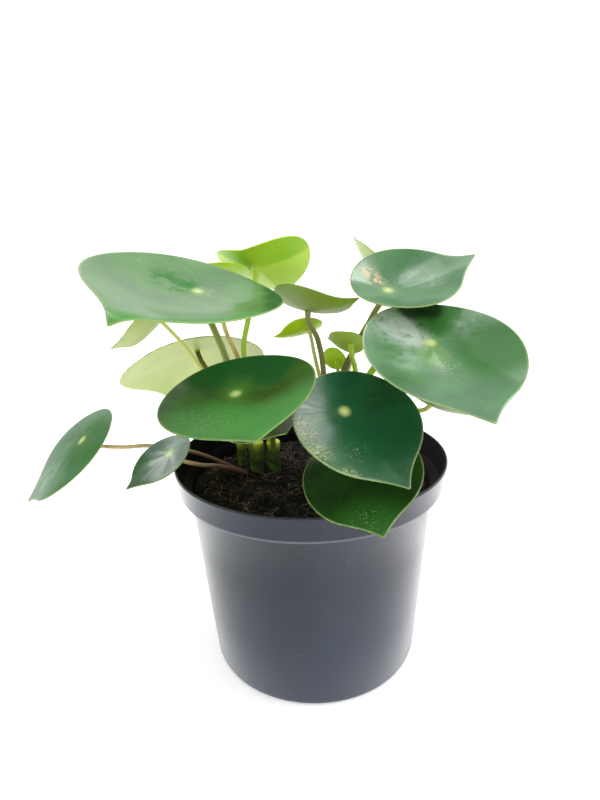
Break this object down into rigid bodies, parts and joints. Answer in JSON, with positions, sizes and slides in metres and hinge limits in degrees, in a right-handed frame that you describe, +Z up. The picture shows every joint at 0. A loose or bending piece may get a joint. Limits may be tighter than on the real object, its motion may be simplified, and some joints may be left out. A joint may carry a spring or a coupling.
{
  "type": "potted pilea plant",
  "caption": "Bushy house plant with glossy raindrop-shaped leaves on long petioles, standing in a round tapered nursery pot of dark plastic with a stepped rim.",
  "frame": {"origin": "centre of the pot's flat underside, on the surface it stands on", "axes": "+Z up along the pot's axis; the side that shows in the picture faces -Y; +X to the right seen from there"},
  "size_m": [0.2051, 0.1509, 0.1894],
  "materials": {
    "pot_plastic": "satin charcoal, finely scuffed",
    "potting_soil": "rough dark peat with fibres and pale grains",
    "leaf": "waxy gloss, deep green with a thin pale margin",
    "young_leaf": "waxy gloss, bright yellow-green",
    "pale_leaf": "satin pale green underside",
    "stem": "smooth fleshy green, reddish in places"
  },
  "bodies": {
    "root": {"pot": "pot_plastic", "soil": "potting_soil", "leaf_upper_left": "leaf", "leaf_right": "leaf", "leaf_upper_right": "leaf", "leaf_front_left": "leaf", "leaf_front": "leaf", "leaf_under_front": "leaf", "leaf_over_rim": "leaf", "leaf_far_left": "leaf", "leaf_low_left": "leaf", "leaf_back_left": "pale_leaf", "leaf_small_left": "pale_leaf", "leaf_crown": "young_leaf", "leaf_behind": "leaf", "leaf_centre": "leaf", "leaf_small_centre": "young_leaf", "leaf_small_right": "leaf", "leaf_bud": "young_leaf", "leaf_under_right": "leaf", "leaf_back_right": "pale_leaf", "stem_left": "stem", "stem_back": "stem", "stem_middle": "stem", "stem_right": "stem", "stem_outer": "stem", "stem_runner": "stem"}
  },
  "joints": []
}
